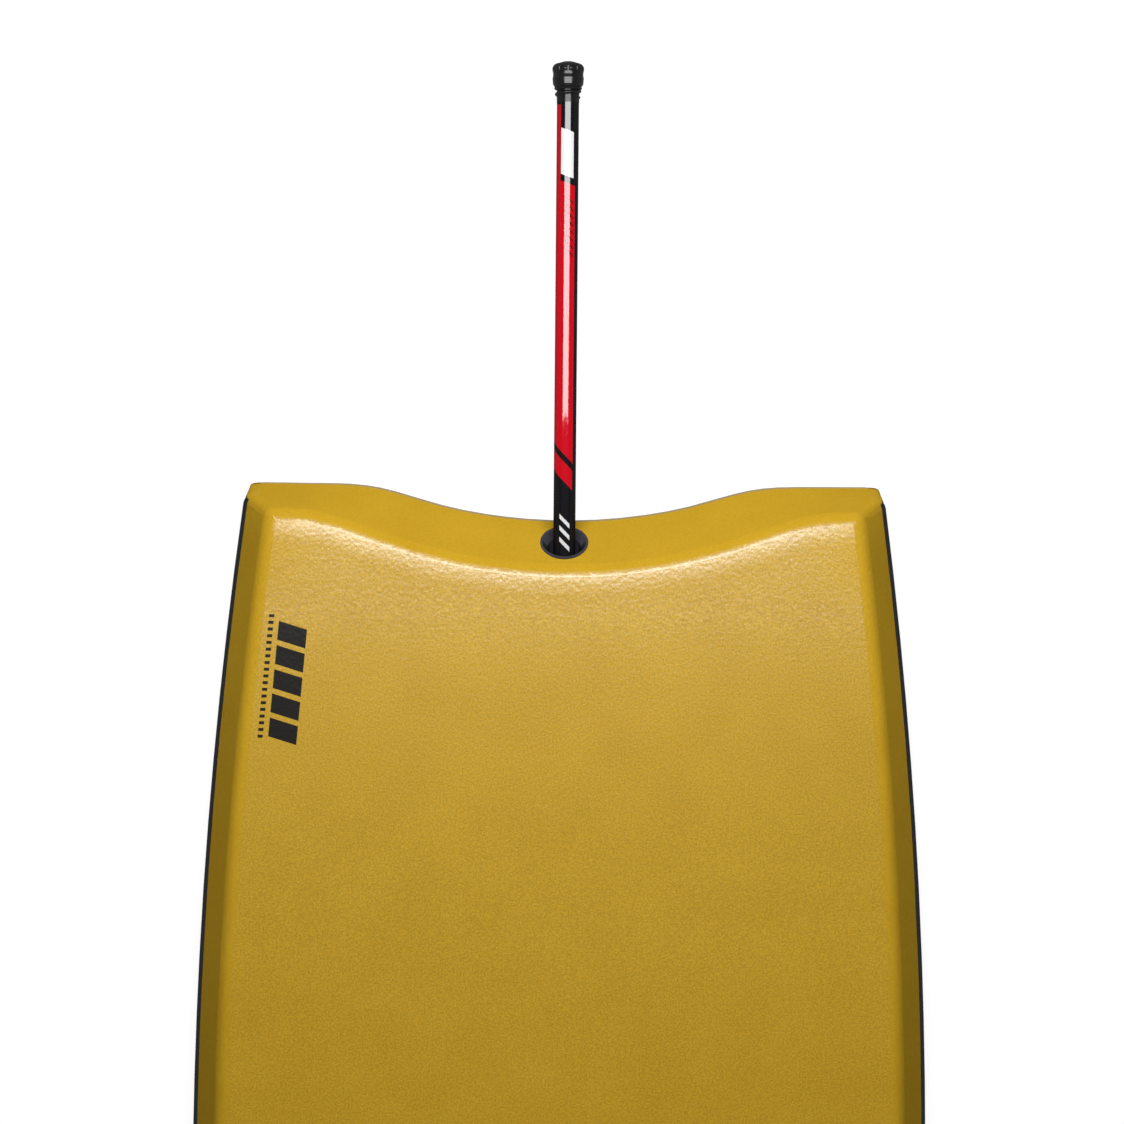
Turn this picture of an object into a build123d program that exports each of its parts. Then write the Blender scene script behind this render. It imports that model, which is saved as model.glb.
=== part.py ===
from build123d import *
import os
from math import hypot, sqrt

# A bodyboard with a stringer that can be changed: a foam core in bonded skins, and a
# round composite rod that slides in through a plug in the tail and screws home.
# Millimetres. +Z is up from the slick bottom, +Y runs to the tail and -Y to the nose.
# The origin is on the slick bottom, on the centre line, half-way along the board.

# Board outline
board_length = 1067.0
board_width = 565.0
tail_width = 491.0
nose_width = 312.0
widest_from_tail = 540.0
nose_curve = 2.4  # power of the outline from the widest point to the nose
nose_sweep = 60.0  # how far the nose corners lie back from the nose tip
nose_corner_at = 190.0  # half-width over which the nose edge sweeps back
nose_corner_share = 0.999  # share of that half-width at which the sweep stops growing
nose_squareness = 3.0  # power of the nose edge: 2 is an ellipse, more is squarer

# Side profile
thickness = 57.0
nose_thickness = 46.0
rocker_radius = 1955.0
tail_roll = 9.7  # how far the deck falls towards the tail
tail_roll_length = 100.0

# Rail, from the slick up: tucked lower rail, seam, then the sloping chine
rail_tuck = 4.0
rail_widest_height = 18.0
seam_inset = 4.5
seam_height = 26.0
chine_run = 18.0
edge_round = 13.0  # rounding of the deck edge
corner_round = 9.0  # rounding of the tail corners

# Crescent tail: the lower edge and the deck edge each dip along an arc, which blends
# into the straight tail corners
notch_depth = 27.6
notch_radius = 397.0
notch_blend = 6.5
deck_edge_inset = 25.3
deck_notch_depth = 40.9
deck_notch_radius = 443.0
deck_notch_blend = 5.8

# Skins
deck_skin_thickness = 4.0
rail_skin_thickness = 4.0
slick_thickness = 2.0
mesh_thickness = 0.8
seam_overlap = 1.5  # how far the deck skin laps below the foot of the chine
rail_wrap = 10.0  # how far each rail strip wraps round its tail corner
nose_rail_length = 150.0

# Stringer, measured along its axis from the outer end of its cap
axis_height = 26.4
stringer_length = 740.0
stringer_diameter = 17.0
tube_wall = 1.5
pulled_out = 383.0  # how far the stringer is drawn out of the board
seated_depth = 30.5  # cap end behind the tail edge when it is screwed home

# Cap: a domed, fluted head, a seal under it, then the shank that carries the thread
cap_rim_diameter = 24.6
cap_waist_diameter = 23.3
cap_band_diameter = 24.2
cap_dome = 1.8
cap_corner = 4.5
cap_rim_to = 7.0
cap_band_from = 13.4
cap_band_to = 18.1
cap_band_taper = 0.4
cap_foot_diameter = 20.8
cap_head_length = 20.0
flute_count = 12
flute_radius = 2.4
flute_depth = 0.45
slot_width = 3.2
slot_depth = 5.0
seal_section = 2.2
seal_groove_diameter = 17.0
shank_diameter = 17.4
shank_length = 9.8
spigot_length = 24.0
spigot_bore = 8.0

# Tip: a round-nosed plug in the inner end of the tube
tip_length = 12.0
tip_taper = 0.4
tip_nose_radius = 5.0
tip_spigot_length = 20.0
turning_clearance = 0.05

# Plug and sleeve in the core
plug_diameter = 37.0
collar_depth = 40.0
plug_body_diameter = 31.0
rib_diameter = 34.0
rib_count = 5
rib_width = 2.0
rib_pitch = 6.0
plug_bore = 25.8
seal_clearance = 0.15  # between the seal and the 45 degree seat that it closes on
thread_bore = 20.8
thread_run_out = 1.5
plug_web = 2.0
socket_length = 12.0
plug_lip = 0.6  # how far the plug's mouth stands proud of the skin
mouth_chamfer = 3.8
sleeve_wall = 1.5
slide_clearance = 0.4
sleeve_end_gap = 3.0
end_plug_spigot = 14.0
end_plug_head = 4.0
sleeve_cover = 5.9  # foam left below the sleeve's inner end, where the rocker has begun

EXTRA = 60.0  # cutters reach this far past the board
SKIRT = 12.0  # sections are drawn on this far below the slick, and cutters above the deck
TAIL_POINTS = 15  # points that draw the crescent across the board
NOSE_POINTS = 21
ROLL_STATIONS = (-0.15, 0.5, 1.2)  # cross-sections, as shares of the roll
BODY_STATIONS = (0.25, 0.37, 0.5, 0.64, 0.75, 0.84, 0.92, 0.984, 1.017)  # and the board
ON_BASE = (Align.CENTER, Align.CENTER, Align.MIN)

y_tail = board_length / 2
y_nose = -board_length / 2
y_notch = y_tail - notch_depth
bevel_run = deck_edge_inset + deck_notch_depth - notch_depth
tail_axis = Plane(origin=(0, y_notch, axis_height), x_dir=(1, 0, 0), z_dir=(0, -1, 0))
cap_axis = tail_axis.offset(seated_depth - pulled_out)
shank_end = cap_head_length + seal_section + shank_length
tube_length = stringer_length - shank_end - tip_length
tube_bore = stringer_diameter - 2 * tube_wall
sleeve_bore = stringer_diameter + 2 * slide_clearance
sleeve_diameter = sleeve_bore + 2 * sleeve_wall
sleeve_from = seated_depth + shank_end + thread_run_out + plug_web
sleeve_stop = seated_depth + stringer_length + sleeve_end_gap
sleeve_to = sleeve_stop + end_plug_spigot
sleeve_end = sleeve_to + end_plug_head
plug_length = sleeve_from + socket_length

# The slick is flat until the rocker's lift would leave too little foam below the sleeve
lift_at_sleeve_end = (
    axis_height - sleeve_diameter / 2 - slick_thickness - mesh_thickness - sleeve_cover
)
rocker_to_sleeve_end = sqrt(2 * rocker_radius * lift_at_sleeve_end - lift_at_sleeve_end**2)
rocker_from_tail = notch_depth + sleeve_end - rocker_to_sleeve_end


def enclosed(*lines):
    """The flat face inside these lines."""
    return make_face([edge for line in lines for edge in line.edges()])


def half_width(from_tail):
    """Half the board's width: a parabola to the widest point, a fuller curve to the nose."""
    if from_tail < widest_from_tail:
        share = (widest_from_tail - from_tail) / widest_from_tail
        return board_width / 2 - (board_width - tail_width) / 2 * share**2
    share = (from_tail - widest_from_tail) / (board_length - widest_from_tail)
    return board_width / 2 - (board_width - nose_width) / 2 * share**nose_curve


def lift(from_tail):
    """Height of the slick above the floor."""
    run = max(0, from_tail - rocker_from_tail)
    return rocker_radius - sqrt(rocker_radius**2 - run**2)


def depth_of_board(from_tail):
    """Thickness there: it thins along the rocker, and rolls off before the tail."""
    nose_share = max(0, from_tail - rocker_from_tail) / (board_length - rocker_from_tail)
    tail_share = max(0, tail_roll_length - from_tail) / tail_roll_length
    thinned = (thickness - nose_thickness) * nose_share**2
    return thickness - thinned - tail_roll * tail_share**2


def rail_section(from_tail, skin_side, skin_top):
    """The cross-section there, set in by the skins, and carried on below the slick."""
    base = lift(from_tail)
    top = depth_of_board(from_tail)
    edge = half_width(from_tail) - skin_side
    tuck = rail_tuck * (rail_widest_height + SKIRT) / rail_widest_height
    chine = chine_run * (top - skin_top - seam_height) / (top - seam_height)
    right = [
        (edge - tuck, base - SKIRT),
        (edge, base + rail_widest_height),
        (edge - seam_inset, base + seam_height),
        (edge - seam_inset - chine, base + top - skin_top),
    ]
    left = [(-x, z) for x, z in reversed(right)]
    y = y_tail - from_tail
    return make_face(Polyline(*[(x, y, z) for x, z in right + left], close=True))


def dip(x, depth, radius, blend):
    """How far an edge of the tail dips: an arc in the middle, fading out to the corners."""
    reach = min(abs(x), radius)
    arc = depth - radius + sqrt(radius**2 - reach**2)
    return (arc + hypot(arc, blend)) / 2


def tail_line(x, z, inset):
    """Where the tail bevel lies, at this distance from the centre line and this height."""
    low = y_tail - dip(x, notch_depth, notch_radius, notch_blend)
    dipped = dip(x, deck_notch_depth, deck_notch_radius, deck_notch_blend)
    high = y_tail - deck_edge_inset - dipped
    return low + (high - low) * z / thickness - inset


def nose_line(x, z, inset):
    """Where the nose front lies: upright to its seam, then leaning back as a chine."""
    share = min(abs(x) / nose_corner_at, nose_corner_share)
    sweep = nose_sweep * (1 - (1 - share**nose_squareness) ** (1 / nose_squareness))
    lean = chine_run / (nose_thickness - seam_height)
    return y_nose + sweep + inset + max(0, z - nose_seam_height()) * lean


def nose_seam_height():
    return lift(board_length - nose_sweep / 2) + seam_height


def end_slice(z, line, inset, far, points):
    """A flat region at height z, from an end line of the board out past that end."""
    side = board_width / 2 + EXTRA
    xs = [side * (2 * i / (points - 1) - 1) for i in range(points)]
    edge = [(x, line(x, z, inset)) for x in xs]
    outline = enclosed(Spline(*edge), Polyline(edge[-1], (side, far), (-side, far), edge[0]))
    return Plane.XY.offset(z) * outline


def tail_cutter(inset):
    far = y_tail + EXTRA
    heights = (-SKIRT, thickness + SKIRT)
    slices = [end_slice(z, tail_line, inset, far, TAIL_POINTS) for z in heights]
    return loft(slices, ruled=True)


def nose_cutter(inset):
    far = y_nose - EXTRA
    seam = nose_seam_height()
    top = lift(board_length) + nose_thickness + SKIRT
    cutters = []
    for low, high in ((-SKIRT, seam), (seam, top)):
        slices = [end_slice(z, nose_line, inset, far, NOSE_POINTS) for z in (low, high)]
        cutters.append(loft(slices, ruled=True))
    return cutters


def below_rocker(height):
    """Everything lower than this height above the slick, following the rocker."""
    flat_end = (y_tail - rocker_from_tail, height)
    past = (y_nose - EXTRA, lift(board_length + EXTRA) + height)
    tail = (y_tail + EXTRA, height)
    outline = enclosed(
        Line(tail, flat_end),
        ThreePointArc(flat_end, (y_nose, lift(board_length) + height), past),
        Polyline(past, (past[0], -EXTRA), (tail[0], -EXTRA), tail),
    )
    return extrude(Plane.YZ * outline, board_width / 2 + EXTRA, both=True)


def faces_facing(solid, direction, least):
    return [f for f in solid.faces() if f.normal_at(f.center()).dot(Vector(*direction)) > least]


def shared_edges(first, second):
    return [e for f in first for e in f.edges() for g in second for o in g.edges() if e.is_same(o)]


def tail_corners(form):
    """The edges where the tail bevel meets the sides of the board."""
    sides = faces_facing(form, (1, 0, 0), 0.5) + faces_facing(form, (-1, 0, 0), 0.5)
    return shared_edges(sides, faces_facing(form, (0, 1, 0), 0.5))


def deck_loop(form):
    """The edges round the deck."""
    return list(faces_facing(form, (0, 0, 1), 0.9)[0].edges())


def board_form(skin_side, skin_top):
    """The board's outer form before rounding, or the core's when the skins are taken off."""
    stations = [tail_roll_length * share for share in ROLL_STATIONS]
    stations += [board_length * share for share in BODY_STATIONS]
    form = loft([rail_section(s, skin_side, skin_top) for s in stations])
    form -= tail_cutter(skin_top * hypot(thickness, bevel_run) / thickness)
    for cutter in nose_cutter(skin_side):
        form -= cutter
    return form


def turned(*lines):
    """A solid turned about Z from its half-outline of (radius, distance) lines."""
    return revolve(Plane.XZ * enclosed(*lines), Axis.Z)


def rod(diameter, start, end, bore=0.0):
    """A round bar, or a tube, between two distances along Z."""
    solid = Pos(0, 0, start) * Cylinder(diameter / 2, end - start, align=ON_BASE)
    if bore:
        solid -= Pos(0, 0, start) * Cylinder(bore / 2, end - start, align=ON_BASE)
    return solid


def make_skins_and_core():
    """The core, its mesh and the skins, which share out the board's form with no gaps."""
    outer = board_form(0, 0)
    outer = fillet(tail_corners(outer), corner_round)
    outer = fillet(deck_loop(outer), edge_round)
    inner = board_form(rail_skin_thickness, deck_skin_thickness)
    inner = fillet(tail_corners(inner) + deck_loop(inner), edge_round - deck_skin_thickness)
    under_slick = below_rocker(slick_thickness)
    under_mesh = below_rocker(slick_thickness + mesh_thickness)

    outer -= below_rocker(0)
    slick = outer & under_slick
    mesh = (inner & under_mesh) - under_slick
    core = inner - under_mesh
    shell = outer - under_slick - inner

    bevel_width = tail_width - 2 * rail_wrap
    bevel = Pos(0, y_tail, 0) * Box(bevel_width, 2 * thickness + EXTRA, 2 * EXTRA)
    rails = shell & (below_rocker(seam_height - seam_overlap) - bevel)
    deck = shell - rails
    return core, mesh, slick, deck, rails


def split_rails(rails):
    """The lower rail strips: left and right of the board, and one across the nose."""
    nose_zone = Pos(0, y_nose, 0) * Box(2 * board_width, 2 * nose_rail_length, 4 * EXTRA)
    sides = rails - nose_zone
    right_half = Pos(board_width, 0, 0) * Box(2 * board_width, 2 * board_length, 4 * EXTRA)
    return sides - right_half, sides & right_half, rails & nose_zone


def plug_outline():
    """The plug's outside: the mouth collar, then a barrel with glue ribs."""
    solid = rod(plug_diameter, 0, collar_depth) + rod(plug_body_diameter, collar_depth, plug_length)
    for i in range(rib_count):
        start = collar_depth + rib_pitch * (i + 1) - rib_width / 2
        solid += rod(rib_diameter, start, start + rib_width)
    return solid


def make_tail_plug():
    """The moulded plug: bored for the cap's head, its seal, its thread and the sleeve."""
    web_from = sleeve_from - plug_web
    seal_radius = (seal_groove_diameter + seal_section) / 2
    seal_at = seated_depth + cap_head_length + seal_section / 2
    seat = seal_radius + seal_at + (seal_section / 2 + seal_clearance) * sqrt(2)
    bore = turned(
        Polyline(
            (0, -EXTRA),
            (plug_bore / 2, -EXTRA),
            (plug_bore / 2, seat - plug_bore / 2),
            (thread_bore / 2, seat - thread_bore / 2),
            (thread_bore / 2, web_from),
            (sleeve_bore / 2, web_from),
            (sleeve_bore / 2, sleeve_from),
            (sleeve_diameter / 2, sleeve_from),
            (sleeve_diameter / 2, plug_length),
            (0, plug_length),
            (0, -EXTRA),
        )
    )
    plug = tail_axis * (plug_outline() - bore)
    plug -= tail_cutter(-plug_lip)
    mouth = faces_facing(plug, (0, 1, 0), 0.5)[0]
    inner_edge = min(mouth.edges(), key=lambda edge: edge.length)
    return chamfer(inner_edge, mouth_chamfer)


def make_stringer_sleeve():
    return tail_axis * rod(sleeve_diameter, sleeve_from, sleeve_to, sleeve_bore)


def make_sleeve_end_plug():
    spigot = rod(sleeve_bore, sleeve_stop, sleeve_to)
    return tail_axis * (spigot + rod(sleeve_diameter, sleeve_to, sleeve_end))


def make_stringer_tube():
    return cap_axis * rod(stringer_diameter, shank_end, shank_end + tube_length, tube_bore)


def make_stringer_tip():
    """The tip that leads the stringer down its sleeve, with a spigot in the tube's bore."""
    radius = stringer_diameter / 2
    start = shank_end + tube_length + turning_clearance
    end = stringer_length
    nose = end - tip_nose_radius
    tip = turned(
        Polyline((0, end), (0, start), (radius, start), (radius - tip_taper, nose)),
        RadiusArc(
            (radius - tip_taper, nose),
            (radius - tip_taper - tip_nose_radius, end),
            -tip_nose_radius,
        ),
        Line((radius - tip_taper - tip_nose_radius, end), (0, end)),
    )
    spigot = rod(tube_bore - 2 * turning_clearance, start - tip_spigot_length, start)
    return cap_axis * (tip + spigot)


def make_stringer_cap():
    """The cap: domed end, fluted rim, waist, band, seal groove, shank and spigot."""
    rim = cap_rim_diameter / 2
    waist = cap_waist_diameter / 2
    band = cap_band_diameter / 2
    groove = seal_groove_diameter / 2
    shank = shank_diameter / 2
    seal_end = cap_head_length + seal_section
    corner_middle = cap_corner * (1 - sqrt(0.5))
    corner_from = (rim - cap_corner, cap_dome)
    corner_to = (rim, cap_dome + cap_corner)
    waist_at = (cap_rim_to + cap_band_from) / 2
    cap = turned(
        ThreePointArc((0, 0), (corner_from[0] / 2, cap_dome / 4), corner_from),
        ThreePointArc(
            corner_from,
            (rim - corner_middle, cap_dome + corner_middle),
            corner_to,
        ),
        Line(corner_to, (rim, cap_rim_to)),
        ThreePointArc((rim, cap_rim_to), (waist, waist_at), (band, cap_band_from)),
        Polyline(
            (band, cap_band_from),
            (band - cap_band_taper, cap_band_to),
            (cap_foot_diameter / 2, cap_head_length),
            (groove, cap_head_length),
            (groove, seal_end),
            (shank, seal_end),
            (shank, shank_end),
            (0, shank_end),
            (0, 0),
        ),
    )
    flutes = PolarLocations(rim + flute_radius - flute_depth, flute_count)
    cap -= flutes * rod(2 * flute_radius, cap_corner, cap_band_from - cap_corner / 2)
    cap -= Box(2 * rim, slot_width, 2 * slot_depth)
    cap += rod(tube_bore, shank_end, shank_end + spigot_length)
    cap -= rod(spigot_bore, shank_end, shank_end + spigot_length)
    return cap_axis * cap


def make_cap_seal():
    radius = (seal_groove_diameter + seal_section) / 2
    ring = Torus(radius, seal_section / 2)
    return cap_axis * (Pos(0, 0, cap_head_length + seal_section / 2) * ring)


def save(node, solid):
    export_step(solid, f"parts/{node}.step")


os.makedirs("parts", exist_ok=True)
core, mesh, slick, deck, rails = make_skins_and_core()
rail_left, rail_right, nose_rail = split_rails(rails)
save("bottom_mesh", mesh)
save("slick_skin", slick)
save("rail_left", rail_left)
save("rail_right", rail_right)
save("nose_rail", nose_rail)
core -= tail_axis * plug_outline()
core -= tail_axis * rod(sleeve_diameter, 0, sleeve_end)
save("foam_core", core)
save("deck_skin", deck - tail_axis * rod(plug_diameter, 0, collar_depth))
save("tail_plug", make_tail_plug())
save("stringer_sleeve", make_stringer_sleeve())
save("sleeve_end_plug", make_sleeve_end_plug())
save("stringer_tube", make_stringer_tube())
save("stringer_tip", make_stringer_tip())
save("stringer_cap", make_stringer_cap())
save("cap_seal", make_cap_seal())
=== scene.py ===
import math

import bpy
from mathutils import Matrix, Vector


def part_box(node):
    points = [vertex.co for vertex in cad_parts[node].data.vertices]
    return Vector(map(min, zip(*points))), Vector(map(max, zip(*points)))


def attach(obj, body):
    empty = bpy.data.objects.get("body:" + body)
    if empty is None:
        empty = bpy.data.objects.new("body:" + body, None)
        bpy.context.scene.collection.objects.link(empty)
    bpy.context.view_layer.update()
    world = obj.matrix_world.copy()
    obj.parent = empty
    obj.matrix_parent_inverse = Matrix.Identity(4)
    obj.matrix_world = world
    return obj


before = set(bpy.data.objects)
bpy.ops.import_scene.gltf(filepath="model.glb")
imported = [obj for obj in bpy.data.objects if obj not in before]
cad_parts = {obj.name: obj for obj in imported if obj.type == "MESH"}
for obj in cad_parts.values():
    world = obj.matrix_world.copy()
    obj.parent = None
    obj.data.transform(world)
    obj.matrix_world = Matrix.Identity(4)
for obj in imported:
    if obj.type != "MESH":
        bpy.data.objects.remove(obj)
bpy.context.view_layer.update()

# A bodyboard with its stringer drawn out. Metres, in the frame of the CAD model: +Z up from
# the slick bottom, +Y to the tail, the origin half-way along the board.
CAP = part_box("stringer_cap")
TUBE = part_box("stringer_tube")

AXIS_HEIGHT = (TUBE[0].z + TUBE[1].z) / 2
TUBE_RADIUS = (TUBE[1].z - TUBE[0].z) / 2
CAP_END = CAP[1].y

# Thread on the cap's shank: right-handed, measured from the outer end of the cap
THREAD_FROM = 0.0200
THREAD_TO = 0.0288
THREAD_ON_TOP = 0.0244  # where a crest passes over the top
THREAD_PITCH = 0.0047
THREAD_WIDTH = 0.0036
THREAD_HEIGHT = 0.00165
THREAD_SINK = 0.0001  # how deep its foot lies in the shank
THREAD_FADE = 1 / 6  # share of its length over which each end fades
THREAD_END = 0.3  # share of its width left at each end
SHANK_RADIUS = 0.0087
POINTS_A_TURN = 48

# Colours, linear
GOLD = (0.64, 0.382, 0.017)
GOLD_PALE = (0.68, 0.41, 0.03)
GOLD_DEEP = (0.58, 0.335, 0.012)
RED = (0.62, 0.002, 0.012)
INK = (0.007, 0.0065, 0.008)
WHITE = (0.85, 0.85, 0.86)
EDGE_BROWN = (0.34, 0.25, 0.10)
MARK_INK = (0.016, 0.014, 0.012)

# The deck's edge over the crescent tail, and how its skin is formed there
TAIL_END = 0.5335
EDGE_INSET = 0.0225
EDGE_DIP = 0.0409
EDGE_RADIUS = 0.443
EDGE_BLEND = 0.0058
EDGE_ROLL = 0.024  # width of the soft roll along the edge
EDGE_FALL = 0.0016
TAIL_FLAT = 0.1  # the deck lies flatter than the core's roll over this length
TAIL_RISE = 0.0075

# The tail corners, where pads round out the solid's flat cut
CORNER_REACH = 0.0105  # how far a pad runs down the rail from the tail
CORNER_WIDTH = 0.0165  # and in along the tail
CORNER_TOP = 0.046
CORNER_SQUARE = 3.2  # how square it is low down, where 0 is the flat cut
CORNER_EASE = 2.2  # how late it eases to the flat cut at its top
SIDE_SINK = 0.0002  # how deep it lies under the rail's side
TAIL_SINK = 0.0005  # and under the tail's face
SEAM_HEIGHT = 0.0215  # its rail side is black up to here

# The board's sides near its tail, which the pads follow. Widths are half the board's.
RAIL_WIDTH = 0.2478  # at the rail's edge; the side goes in above it and below
RAIL_HEIGHT = 0.0183
RAIL_SLOPE = 0.58
TUCK_SLOPE = 0.283
CHINE_WIDTH = 0.2433  # where the chine starts
CHINE_HEIGHT = 0.026
CHINE_SLOPE = 0.79
RAIL_LEAN = 0.14  # the rails close in towards the tail
TAIL_LEAN = 0.438  # the tail's face leans in towards the deck

# The printed mark on the deck: bars and ticks, each from side to side and from end to end
MARK_CENTRE = (-0.2139, 0.3827)
MARK_TILT = 0.085  # how far it leans with the rail
MARK_SLANT = -0.3
BAR_SIDES = (-0.0065, 0.0155)
BAR_ENDS = (-0.042, 0.046)
BAR_PITCH = 0.0184
BAR_WIDTH = 0.0144
TICK_SIDES = (-0.0145, -0.0105)
TICK_ENDS = (-0.049, 0.048)
TICK_PITCH = 0.0051
TICK_WIDTH = 0.0024

# The print on the stringer
PRINT_BACK = -0.024  # its far edge, nearly underneath
PRINT_SLANT = 0.36

# How far up a surface faces where its coat starts, and where it is full
COAT_STARTS = 0.94
COAT_FULL = 0.98


class Finish:
    """A procedural material round one Principled shader, in object coordinates in metres."""

    def __init__(self, name, roughness, specular=0.5, coat_roughness=0.04):
        self.material = bpy.data.materials.new(name)
        self.material.use_nodes = True
        self.tree = self.material.node_tree
        self.shader = self.tree.nodes["Principled BSDF"]
        self.shader.inputs["Roughness"].default_value = roughness
        self.shader.inputs["Specular IOR Level"].default_value = specular
        self.shader.inputs["Coat Roughness"].default_value = coat_roughness
        self.place = self.add("ShaderNodeTexCoord").outputs["Object"]

    def add(self, kind, **settings):
        """A new node of this kind, with its settings."""
        node = self.tree.nodes.new(kind)
        for name, value in settings.items():
            setattr(node, name, value)
        return node

    def feed(self, socket, source):
        """Sets a socket to a plain value, or links it to another node's output."""
        if isinstance(source, bpy.types.NodeSocket):
            self.tree.links.new(source, socket)
        elif isinstance(source, tuple) and len(source) == 3 and socket.type == "RGBA":
            socket.default_value = (*source, 1.0)
        else:
            socket.default_value = source

    def set(self, name, source):
        """Feeds one of the shader's own sockets."""
        self.feed(self.shader.inputs[name], source)

    def math(self, operation, first, second=0.0):
        node = self.add("ShaderNodeMath", operation=operation)
        self.feed(node.inputs[0], first)
        self.feed(node.inputs[1], second)
        return node.outputs[0]

    def stretched(self, stretch):
        """The coordinates, scaled along each axis."""
        node = self.add("ShaderNodeMapping")
        self.feed(node.inputs["Vector"], self.place)
        node.inputs["Scale"].default_value = stretch
        return node.outputs["Vector"]

    def noise(self, size, detail=2.0, stretch=(1.0, 1.0, 1.0)):
        """Noise with features of about this size, in metres."""
        node = self.add("ShaderNodeTexNoise")
        self.feed(node.inputs["Vector"], self.stretched(stretch))
        node.inputs["Scale"].default_value = 1 / size
        node.inputs["Detail"].default_value = detail
        return node.outputs["Fac"]

    def cells(self, size, feature="SMOOTH_F1"):
        """Distance to the nearest of scattered points about this far apart."""
        node = self.add("ShaderNodeTexVoronoi", feature=feature)
        self.feed(node.inputs["Vector"], self.place)
        node.inputs["Scale"].default_value = 1 / size
        return node.outputs["Distance"]

    def ramp(self, value, *stops):
        """A colour ramp through (position, linear colour) stops."""
        node = self.add("ShaderNodeValToRGB")
        self.feed(node.inputs["Fac"], value)
        elements = node.color_ramp.elements
        while len(elements) < len(stops):
            elements.new(0.5)
        for element, (position, colour) in zip(elements, stops):
            element.position = position
            element.color = (*colour, 1.0)
        return node.outputs["Color"]

    def spread(self, value, low, high):
        """A 0 to 1 value mapped to low to high."""
        node = self.add("ShaderNodeMapRange")
        self.feed(node.inputs["Value"], value)
        node.inputs["To Min"].default_value = low
        node.inputs["To Max"].default_value = high
        return node.outputs["Result"]

    def mix(self, share, first, second, blend="MIX"):
        """The first colour where the share is 0, blended with the second where it is 1."""
        node = self.add("ShaderNodeMix", data_type="RGBA", blend_type=blend)
        self.feed(node.inputs["Factor"], share)
        self.feed(node.inputs[6], first)
        self.feed(node.inputs[7], second)
        return node.outputs[2]

    def tint(self, colour, shade, share):
        """The colour multiplied by this share of the shade."""
        return self.mix(share, colour, shade, blend="MULTIPLY")

    def bump(self, height, depth):
        """Raises the surface by up to depth, in metres, on top of any bump before."""
        node = self.add("ShaderNodeBump")
        self.feed(node.inputs["Height"], height)
        node.inputs["Distance"].default_value = depth
        for link in self.shader.inputs["Normal"].links:
            self.feed(node.inputs["Normal"], link.from_socket)
        self.set("Normal", node.outputs["Normal"])
        self.set("Coat Normal", node.outputs["Normal"])

    def coordinates(self):
        """x, y and z of the place on the object, in metres."""
        node = self.add("ShaderNodeSeparateXYZ")
        self.feed(node.inputs[0], self.place)
        return node.outputs

    def between(self, value, low, high, soft=0.0002):
        """1 where value lies between low and high, with edges this soft."""
        above = self.math("DIVIDE", self.math("SUBTRACT", value, low), soft)
        below = self.math("DIVIDE", self.math("SUBTRACT", high, value), soft)
        least = self.math("MINIMUM", above, below)
        share = self.math("ADD", least, 0.5)
        share.node.use_clamp = True
        return share

    def normal(self):
        """x, y and z of the way that the surface faces."""
        node = self.add("ShaderNodeSeparateXYZ")
        self.feed(node.inputs[0], self.add("ShaderNodeNewGeometry").outputs["Normal"])
        return node.outputs

    def step(self, value, start, end):
        """0 at the start, 1 at the end, with a smooth curve between; the end may be lower."""
        node = self.add("ShaderNodeMapRange", interpolation_type="SMOOTHSTEP")
        self.feed(node.inputs["Value"], value)
        node.inputs["From Min"].default_value = start
        node.inputs["From Max"].default_value = end
        return node.outputs["Result"]

    def polish(self, least):
        """A full coat where the surface faces up, and the least of it down the sides."""
        facing_up = self.step(self.normal()[2], COAT_STARTS, COAT_FULL)
        self.set("Coat Weight", self.spread(facing_up, least, 1.0))

    def clamped_share(self, distance, reach):
        """1 at no distance, falling to 0 at this reach."""
        share = self.math("SUBTRACT", 1.0, self.math("DIVIDE", distance, reach))
        share.node.use_clamp = True
        return share

    def both(self, *masks):
        """1 where all of the masks are."""
        result = masks[0]
        for mask in masks[1:]:
            result = self.math("MULTIPLY", result, mask)
        return result

    def within(self, *limits):
        """1 where each value lies between its low and high."""
        return self.both(*[self.between(*limit) for limit in limits])

    def either(self, *masks):
        """1 where any of the masks is."""
        result = masks[0]
        for mask in masks[1:]:
            result = self.math("MAXIMUM", result, mask)
        return result


def repeated(finish, value, pitch, width):
    """1 on bars of this width, repeated at this pitch."""
    share = finish.math("FRACT", finish.math("DIVIDE", value, pitch))
    return finish.between(share, 0.0, width / pitch, soft=0.0003 / pitch)


def deck_mark(finish):
    """A plain printed block of slanted bars beside a row of ticks, near the left rail."""
    x, y, _ = finish.coordinates()
    across = finish.math("SUBTRACT", x, MARK_CENTRE[0])
    along = finish.math("SUBTRACT", MARK_CENTRE[1], y)
    side = finish.math("ADD", across, finish.math("MULTIPLY", along, MARK_TILT))
    slanted = finish.math("ADD", along, finish.math("MULTIPLY", side, MARK_SLANT))
    bars = finish.both(
        finish.within((side, *BAR_SIDES), (slanted, *BAR_ENDS)),
        repeated(finish, finish.math("SUBTRACT", slanted, BAR_ENDS[0]), BAR_PITCH, BAR_WIDTH),
    )
    ticks = finish.both(
        finish.within((side, *TICK_SIDES), (along, *TICK_ENDS)),
        repeated(finish, finish.math("SUBTRACT", along, TICK_ENDS[0]), TICK_PITCH, TICK_WIDTH),
    )
    return finish.either(bars, ticks)


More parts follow.
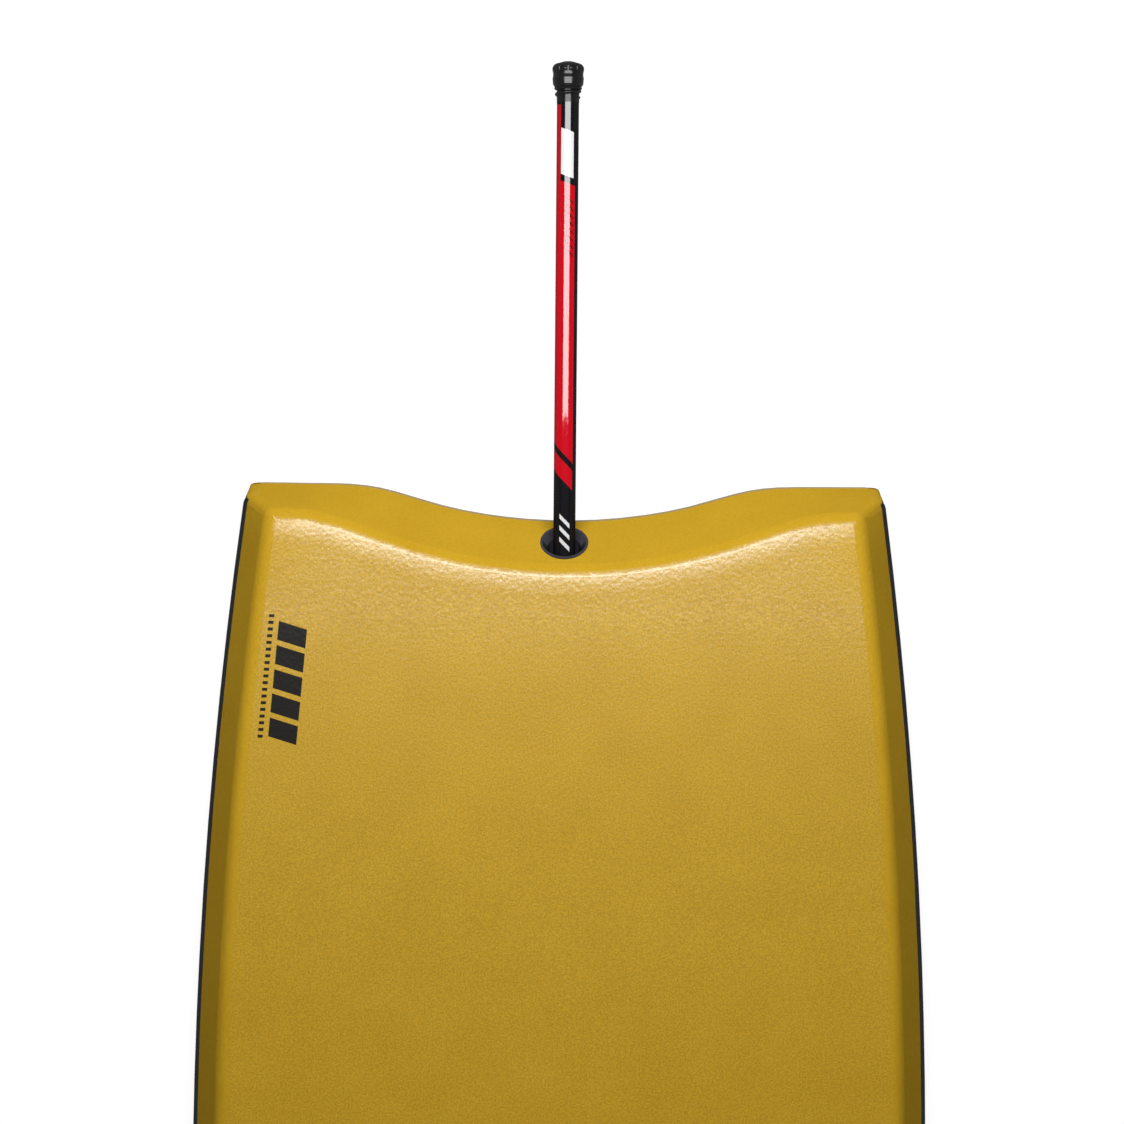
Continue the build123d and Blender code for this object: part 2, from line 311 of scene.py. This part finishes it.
def tail_forming(finish):
    """Height of the skin over the solid: a soft roll along the deck's edge, flat behind it."""
    x, y, _ = finish.coordinates()
    reach = finish.math("MINIMUM", finish.math("MULTIPLY", x, x), EDGE_RADIUS**2)
    chord = finish.math("SQRT", finish.math("SUBTRACT", EDGE_RADIUS**2, reach))
    arc = finish.math("ADD", chord, EDGE_DIP - EDGE_RADIUS)
    blended = finish.math("ADD", finish.math("MULTIPLY", arc, arc), EDGE_BLEND**2)
    dip = finish.math("MULTIPLY", finish.math("ADD", arc, finish.math("SQRT", blended)), 0.5)
    edge = finish.math("SUBTRACT", TAIL_END - EDGE_INSET, dip)
    near_edge = finish.clamped_share(finish.math("SUBTRACT", edge, y), EDGE_ROLL)
    near_tail = finish.clamped_share(finish.math("SUBTRACT", TAIL_END, y), TAIL_FLAT)
    fall = finish.math("MULTIPLY", finish.math("POWER", near_edge, 2.0), EDGE_FALL)
    rise = finish.math("MULTIPLY", finish.math("POWER", near_tail, 2.0), TAIL_RISE)
    return finish.math("SUBTRACT", rise, fall)


def deck_foam():
    """Gold closed-cell foam: a satin skin on top, drier where it is formed down the sides."""
    finish = Finish("deck_foam", roughness=0.5, specular=0.1, coat_roughness=0.25)
    finish.shader.inputs["Coat IOR"].default_value = 1.9
    x, y, _ = finish.coordinates()
    sideways, tailward, _ = finish.normal()

    # The top is level across the board, and ends where the skin turns down to the tail
    level = finish.step(finish.math("ABSOLUTE", sideways), 0.30, 0.03)
    top = finish.both(level, finish.step(tailward, 0.42, 0.24))

    # Slow patches, a grain of the foam's cells, and finer specks that show most on top
    patches = finish.noise(0.05, detail=4.0)
    grain = finish.noise(0.0024, detail=3.0)
    specks = finish.noise(0.0013, detail=3.0)
    gold = finish.ramp(patches, (0.3, GOLD_DEEP), (0.7, GOLD))
    gold = finish.mix(finish.spread(grain, 0.0, 0.7), gold, GOLD_PALE)
    shade = finish.ramp(specks, (0.35, (0.82, 0.82, 0.80)), (0.65, (1.18, 1.18, 1.22)))
    gold = finish.tint(gold, shade, finish.spread(top, 0.3, 1.0))
    mark = deck_mark(finish)
    finish.set("Base Color", finish.mix(mark, gold, MARK_INK))

    # The skin's shine: less on the ink and the tail corners, and less towards the nose
    outer = finish.step(finish.math("ABSOLUTE", x), 0.17, 0.25)
    corner = finish.both(outer, finish.step(y, 0.43, 0.49))
    dull_ink = finish.math("MULTIPLY", mark, 0.8)
    dull_corner = finish.math("MULTIPLY", corner, 0.75)
    kept = finish.spread(finish.either(dull_ink, dull_corner), 1.0, 0.0)
    shine = finish.spread(finish.step(y, -0.1, 0.32), 0.35, 1.0)
    finish.set("Coat Weight", finish.both(top, shine, kept))
    finish.set("Roughness", finish.spread(top, 1.0, 0.5))

    finish.bump(tail_forming(finish), 1.0)
    finish.bump(finish.cells(0.0028), 0.00013)
    finish.bump(finish.noise(0.0012, detail=2.0), 0.00004)
    return finish.material


def rail_foam(name, tail_colour):
    """Black rail foam with a fine, dry skin, in another colour where it faces the tail."""
    finish = Finish(name, roughness=0.7, specular=0.12)
    grain = finish.noise(0.002, detail=3.0)
    black = finish.ramp(grain, (0.3, (0.004, 0.004, 0.005)), (0.75, (0.010, 0.009, 0.011)))
    tail_end = finish.step(finish.normal()[1], 0.45, 0.55)
    finish.set("Base Color", finish.mix(tail_end, black, tail_colour))
    finish.set("Roughness", finish.spread(grain, 0.6, 0.8))
    finish.bump(finish.cells(0.0022), 0.00018)
    return finish.material


def slick_film():
    """Hard, glossy black slick with fine lengthways scuffs."""
    finish = Finish("slick_film", roughness=0.2)
    scuffs = finish.noise(0.004, detail=5.0, stretch=(1.0, 0.03, 1.0))
    black = finish.ramp(scuffs, (0.4, (0.010, 0.010, 0.011)), (0.8, (0.03, 0.03, 0.032)))
    cut_edge = finish.step(finish.normal()[1], 0.4, 0.6)
    finish.set("Base Color", finish.mix(cut_edge, black, EDGE_BROWN))
    finish.set("Roughness", finish.spread(scuffs, 0.12, 0.34))
    finish.bump(finish.noise(0.03, detail=1.0), 0.0003)
    finish.bump(scuffs, 0.00002)
    return finish.material


def moulded(name, dark, light, lip_highlight, roughness):
    """Plastic with a fine grain, dark to light where it is rubbed, and a painted highlight colour
    on a lip that faces half up.
    """
    finish = Finish(name, roughness=0.7, specular=0.1, coat_roughness=roughness)
    grain = finish.noise(0.0008, detail=3.0)
    rubbed = finish.noise(0.012, detail=4.0)
    colour = finish.ramp(rubbed, (0.35, dark), (0.75, light))
    upward = finish.normal()[2]
    # Painted highlight: the lip, tilted half up, takes its own colour where light would catch it
    lip = finish.both(finish.step(upward, 0.35, 0.55), finish.step(upward, 0.95, 0.8))
    finish.set("Base Color", finish.mix(lip, colour, lip_highlight))
    finish.set("Roughness", finish.spread(rubbed, 0.75, 0.6))
    finish.polish(0.08)
    finish.bump(grain, 0.00001)
    return finish.material


def core_foam():
    """White bead foam of the core: packed beads, each a little different."""
    finish = Finish("core_foam", roughness=0.7)
    beads = finish.cells(0.0035, feature="F1")
    white = finish.ramp(beads, (0.0, (0.85, 0.85, 0.83)), (0.8, (0.66, 0.66, 0.63)))
    finish.set("Base Color", white)
    finish.bump(beads, 0.0006)
    return finish.material


def mesh_weave():
    """The stiffening mesh: plain crossed plastic threads."""
    finish = Finish("mesh_weave", roughness=0.5)
    radians_a_metre = 2500.0
    x, y, _ = finish.coordinates()
    lengthways = finish.math("SINE", finish.math("MULTIPLY", x, radians_a_metre))
    crossways = finish.math("SINE", finish.math("MULTIPLY", y, radians_a_metre))
    weave = finish.math("MULTIPLY", lengthways, crossways)
    grey = finish.ramp(weave, (0.0, (0.3, 0.3, 0.29)), (0.6, (0.62, 0.62, 0.6)))
    finish.set("Base Color", grey)
    finish.bump(weave, 0.0002)
    return finish.material


def stringer_print():
    """The stringer's tube: black, with red and white printed fields under a clear coat."""
    finish = Finish("stringer_print", roughness=0.5, specular=0.0, coat_roughness=0.04)
    finish.shader.inputs["Coat IOR"].default_value = 1.75
    x, y, z = finish.coordinates()
    turn = finish.math("ARCTAN2", x, finish.math("SUBTRACT", z, AXIS_HEIGHT))
    round_by = finish.math("MULTIPLY", turn, TUBE_RADIUS)
    along = finish.math("SUBTRACT", CAP_END, y)
    steep = finish.math("SUBTRACT", along, round_by)
    slight = finish.math("SUBTRACT", along, finish.math("MULTIPLY", round_by, PRINT_SLANT))

    # Each field lies between limits round the rod, where 0 is on top, and limits along it
    edge_strip = finish.within((round_by, PRINT_BACK, -0.0057), (along, 0.034, 0.105))
    main_field = finish.within(
        (round_by, PRINT_BACK, 0.0065), (slight, 0.0944, 0.35), (steep, 0.0, 0.3034)
    )
    end_field = finish.within((round_by, PRINT_BACK, 0.006), (steep, 0.309, 0.3242))
    red = finish.either(edge_strip, main_field, end_field)
    hatch = finish.both(
        finish.within((round_by, -0.0022, 0.0052), (steep, 0.104, 0.148)),
        repeated(finish, steep, pitch=0.0058, width=0.0013),
    )
    small_hatch = finish.both(
        finish.within((round_by, -0.001, 0.0018), (steep, 0.178, 0.195)),
        repeated(finish, steep, pitch=0.0024, width=0.0007),
    )
    white = finish.within((round_by, -0.0053, 0.005), (slight, 0.0536, 0.0891))
    end_bars = finish.both(
        finish.within((round_by, -0.004, 0.004), (steep, 0.352, 0.374)),
        repeated(finish, steep, pitch=0.0088, width=0.0036),
    )
    colour = finish.mix(red, INK, RED)
    colour = finish.mix(finish.either(hatch, small_hatch), colour, INK)
    colour = finish.mix(finish.either(white, end_bars), colour, WHITE)
    fibres = finish.noise(0.0006, detail=2.0, stretch=(1.0, 0.15, 1.0))
    colour = finish.mix(finish.spread(fibres, 0.0, 0.06), colour, (0.1, 0.1, 0.1))
    finish.set("Base Color", colour)
    finish.polish(0.06)
    finish.bump(fibres, 0.00001)
    return finish.material


def rubber():
    """Dull black rubber of the cap's seal."""
    finish = Finish("seal_rubber", roughness=0.6, specular=0.1)
    grain = finish.noise(0.001, detail=2.0)
    black = finish.ramp(grain, (0.3, (0.007, 0.007, 0.007)), (0.7, (0.013, 0.013, 0.013)))
    finish.set("Base Color", black)
    finish.bump(grain, 0.00003)
    return finish.material


def dress(material, *nodes):
    """Gives these solids of the CAD model their finish."""
    for node in nodes:
        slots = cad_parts[node].data.materials
        slots.clear()
        slots.append(material)


def link_object(name, data):
    """A new object in the scene, with this mesh, light or camera."""
    made = bpy.data.objects.new(name, data)
    bpy.context.scene.collection.objects.link(made)
    return made


def mesh_object(name, vertices, faces, material):
    """A new mesh in one material."""
    mesh = bpy.data.meshes.new(name)
    mesh.from_pydata(vertices, [], faces)
    mesh.update()
    mesh.materials.append(material)
    return link_object(name, mesh)


def piece(name, vertices, faces, material, body):
    """A smooth piece in this material, which moves with this body."""
    made = mesh_object(name, vertices, faces, material)
    made.data.polygons.foreach_set("use_smooth", [True] * len(faces))
    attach(made, body)
    return made


def helical_ridge(material):
    """The thread on the cap's shank: a rounded ridge that fades out at both ends."""
    steps = int(POINTS_A_TURN * (THREAD_TO - THREAD_FROM) / THREAD_PITCH)
    profile = 9  # points across the ridge
    vertices = []
    for i in range(steps + 1):
        share = i / steps
        middle = THREAD_FROM + share * (THREAD_TO - THREAD_FROM)
        turn = 2 * math.pi * (THREAD_ON_TOP - middle) / THREAD_PITCH
        fade = min(1.0, share / THREAD_FADE, (1 - share) / THREAD_FADE)
        for j in range(profile):
            across = -1 + 2 * j / (profile - 1)
            height = THREAD_HEIGHT * fade * math.cos(across * math.pi / 2)
            radius = SHANK_RADIUS + height - THREAD_SINK
            along = middle + across * THREAD_WIDTH / 2 * (THREAD_END + (1 - THREAD_END) * fade)
            sideways = radius * math.sin(turn)
            upward = radius * math.cos(turn)
            vertices.append((sideways, CAP_END - along, AXIS_HEIGHT + upward))
    faces = []
    for i in range(steps):
        for j in range(profile):
            a = i * profile + j
            b = i * profile + (j + 1) % profile
            faces.append((a, a + profile, b + profile, b))
    faces.append(tuple(range(profile)))
    faces.append(tuple(range(steps * profile, (steps + 1) * profile))[::-1])
    piece("cap_thread", vertices, faces, material, "stringer")


def half_width_at(height):
    """Half the board's width near its tail: plumb to the rail's edge, then in up the chine."""
    rail = RAIL_WIDTH - RAIL_SLOPE * (height - RAIL_HEIGHT)
    chine = CHINE_WIDTH - CHINE_SLOPE * (height - CHINE_HEIGHT)
    return min(RAIL_WIDTH, rail, chine)


def tuck_at(height):
    """How far the rail is tucked in below its edge."""
    return max(0.0, TUCK_SLOPE * (RAIL_HEIGHT - height))


def corner_pad(side, name, rail_colour, deck_colour):
    """Fills out a tail corner's flat cut to a round one; side is -1 on the left, 1 on the right."""
    levels = 13  # outlines from the bottom up, and points round the corner on each
    arc = 13
    vertices = []
    for i in range(levels):
        height = CORNER_TOP * i / (levels - 1)
        width = half_width_at(height) - SIDE_SINK
        tail = TAIL_END - TAIL_SINK - TAIL_LEAN * height
        squareness = 1 + CORNER_SQUARE * min(1.0, CORNER_EASE * (1 - height / CORNER_TOP))
        for j in range(arc):
            angle = math.pi / 2 * j / (arc - 1)
            outward = math.cos(angle) ** (2 / squareness)
            tailward = abs(math.sin(angle)) ** (2 / squareness)
            lean = CORNER_REACH * RAIL_LEAN * tailward * outward
            x = width - CORNER_WIDTH * (1 - outward) - lean
            x -= tuck_at(height) * (1 - tailward)
            vertices.append((side * x, tail - CORNER_REACH * (1 - tailward), height))
        inner = width - CORNER_WIDTH - tuck_at(height)
        vertices.append((side * inner, tail - CORNER_REACH, height))
    across = arc + 1
    faces = []
    for i in range(levels - 1):
        for j in range(across):
            a = i * across + j
            b = i * across + (j + 1) % across
            faces.append((a, b, b + across, a + across)[::side])
    faces.append(tuple(range(across))[::-side])
    faces.append(tuple(range((levels - 1) * across, levels * across))[::side])
    made = piece(name, vertices, faces, rail_colour, "board")
    made.data.materials.append(deck_colour)
    for index, face in enumerate(made.data.polygons):
        on_rail = index % across < arc // 3 and face.center.z < SEAM_HEIGHT
        face.material_index = 0 if on_rail else 1


# Stage, light and camera

CAMERA_HEIGHT = 3.018
CAMERA_PLACE = (-0.0016, 0.4732)
CAMERA_LENS = 124.6  # mm
SENSOR_WIDTH = 36.0
CAMERA_ROLL = 0.0085
STAGE_RADIUS = 25.0
WALL_SIDES = 64
WALL_HEIGHT = 10.0
FLOOR_HEIGHT = -0.0002
WORLD_STRENGTH = 0.045
KEY_SIZE = (1.0, 0.36)
FILL_SIZE = (2.4, 1.2)


def backdrop_material(name, grey, glow):
    """Matt grey, with a white glow in the camera's view and reflections; clear from behind."""
    material = bpy.data.materials.new(name)
    material.use_nodes = True
    tree = material.node_tree
    tree.nodes.clear()
    path = tree.nodes.new("ShaderNodeLightPath")
    shown = path.outputs["Is Camera Ray"]
    for kind in ("Is Glossy Ray", "Is Transmission Ray"):
        either = tree.nodes.new("ShaderNodeMath")
        either.operation = "MAXIMUM"
        tree.links.new(shown, either.inputs[0])
        tree.links.new(path.outputs[kind], either.inputs[1])
        shown = either.outputs[0]
    strength = tree.nodes.new("ShaderNodeMath")
    strength.operation = "MULTIPLY"
    strength.inputs[1].default_value = glow
    tree.links.new(shown, strength.inputs[0])
    light = tree.nodes.new("ShaderNodeEmission")
    tree.links.new(strength.outputs[0], light.inputs["Strength"])
    matt = tree.nodes.new("ShaderNodeBsdfDiffuse")
    matt.inputs["Color"].default_value = (grey, grey, grey, 1)
    front = tree.nodes.new("ShaderNodeAddShader")
    tree.links.new(matt.outputs[0], front.inputs[0])
    tree.links.new(light.outputs[0], front.inputs[1])
    clear = tree.nodes.new("ShaderNodeBsdfTransparent")
    geometry = tree.nodes.new("ShaderNodeNewGeometry")
    chosen = tree.nodes.new("ShaderNodeMixShader")
    tree.links.new(geometry.outputs["Backfacing"], chosen.inputs["Fac"])
    tree.links.new(front.outputs[0], chosen.inputs[1])
    tree.links.new(clear.outputs[0], chosen.inputs[2])
    output = tree.nodes.new("ShaderNodeOutputMaterial")
    tree.links.new(chosen.outputs[0], output.inputs["Surface"])
    return material


def stage_piece(name, vertices, faces, material):
    """A piece of the surroundings, which isn't part of the object."""
    made = mesh_object(name, vertices, faces, material)


def make_stage():
    """A wide floor, and a wall far round it that is low enough to leave the sky overhead dim."""
    around = [2 * math.pi * i / WALL_SIDES for i in range(WALL_SIDES)]
    ring = [(STAGE_RADIUS * math.cos(a), STAGE_RADIUS * math.sin(a)) for a in around]
    floor = [(x, y, FLOOR_HEIGHT) for x, y in ring]
    floor_material = backdrop_material("floor", grey=0.2, glow=0.9)
    stage_piece("floor", floor, [tuple(range(WALL_SIDES))], floor_material)
    wall = floor + [(x, y, WALL_HEIGHT) for x, y in ring]
    sides = []
    for i in range(WALL_SIDES):
        j = (i + 1) % WALL_SIDES
        sides.append((i, i + WALL_SIDES, j + WALL_SIDES, j))
    stage_piece("wall", wall, sides, backdrop_material("wall", grey=0.3, glow=1.0))


def make_world():
    """A dim, even light from everywhere, to fill the shadows a little."""
    world = bpy.data.worlds.new("studio")
    bpy.context.scene.world = world
    world.use_nodes = True
    background = world.node_tree.nodes["Background"]
    background.inputs["Color"].default_value = (1, 1, 1, 1)
    background.inputs["Strength"].default_value = WORLD_STRENGTH


def softbox(name, place, target, size, watts):
    """A rectangular light aimed at the target, which the camera doesn't see."""
    data = bpy.data.lights.new(name, "AREA")
    data.shape = "RECTANGLE"
    data.size, data.size_y = size
    data.energy = watts
    light = link_object(name, data)
    light.location = place
    light.rotation_euler = (Vector(target) - Vector(place)).to_track_quat("-Z", "Y").to_euler()
    light.visible_camera = False


def make_camera():
    """Straight above the tail, looking down."""
    data = bpy.data.cameras.new("camera")
    data.lens = CAMERA_LENS
    data.sensor_width = SENSOR_WIDTH
    camera = link_object("camera", data)
    camera.location = (*CAMERA_PLACE, CAMERA_HEIGHT)
    camera.rotation_euler = (0, 0, CAMERA_ROLL)
    bpy.context.scene.camera = camera


# The moulded plastics and the shared foams, then the pieces

cap_plastic = moulded(
    "cap_plastic",
    dark=(0.006, 0.006, 0.007),
    light=(0.010, 0.010, 0.011),
    lip_highlight=(0.008, 0.008, 0.009),
    roughness=0.2,
)
# The plug's pale lip colour is a painted highlight on its chamfered mouth
plug_plastic = moulded(
    "plug_plastic",
    dark=(0.008, 0.008, 0.010),
    light=(0.016, 0.015, 0.019),
    lip_highlight=(0.045, 0.044, 0.055),
    roughness=0.2,
)
sleeve_plastic = moulded(
    "sleeve_plastic",
    dark=(0.10, 0.10, 0.11),
    light=(0.16, 0.16, 0.17),
    lip_highlight=(0.16, 0.16, 0.17),
    roughness=0.4,
)
deck_material = deck_foam()
corner_black = rail_foam("corner_black", INK)

dress(deck_material, "deck_skin")
dress(rail_foam("rail_foam", GOLD), "rail_left", "rail_right", "nose_rail")
dress(slick_film(), "slick_skin")
dress(core_foam(), "foam_core")
dress(mesh_weave(), "bottom_mesh")
dress(plug_plastic, "tail_plug")
dress(sleeve_plastic, "stringer_sleeve", "sleeve_end_plug")
dress(stringer_print(), "stringer_tube")
dress(cap_plastic, "stringer_cap", "stringer_tip")
dress(rubber(), "cap_seal")
helical_ridge(cap_plastic)
corner_pad(-1, "corner_left", corner_black, deck_material)
corner_pad(1, "corner_right", corner_black, deck_material)

make_stage()
make_world()
softbox("key", place=(0.0, 0.80, 0.95), target=(0.0, 0.75, 0.0), size=KEY_SIZE, watts=8.9)
softbox("tail_fill", place=(0.0, 2.9, 1.6), target=(0.0, 0.5, 0.0), size=FILL_SIZE, watts=24.0)
softbox("nose_fill", place=(0.0, -2.6, 1.7), target=(0.0, 0.0, 0.0), size=FILL_SIZE, watts=30.0)
make_camera()

bpy.context.scene.view_settings.view_transform = "Standard"
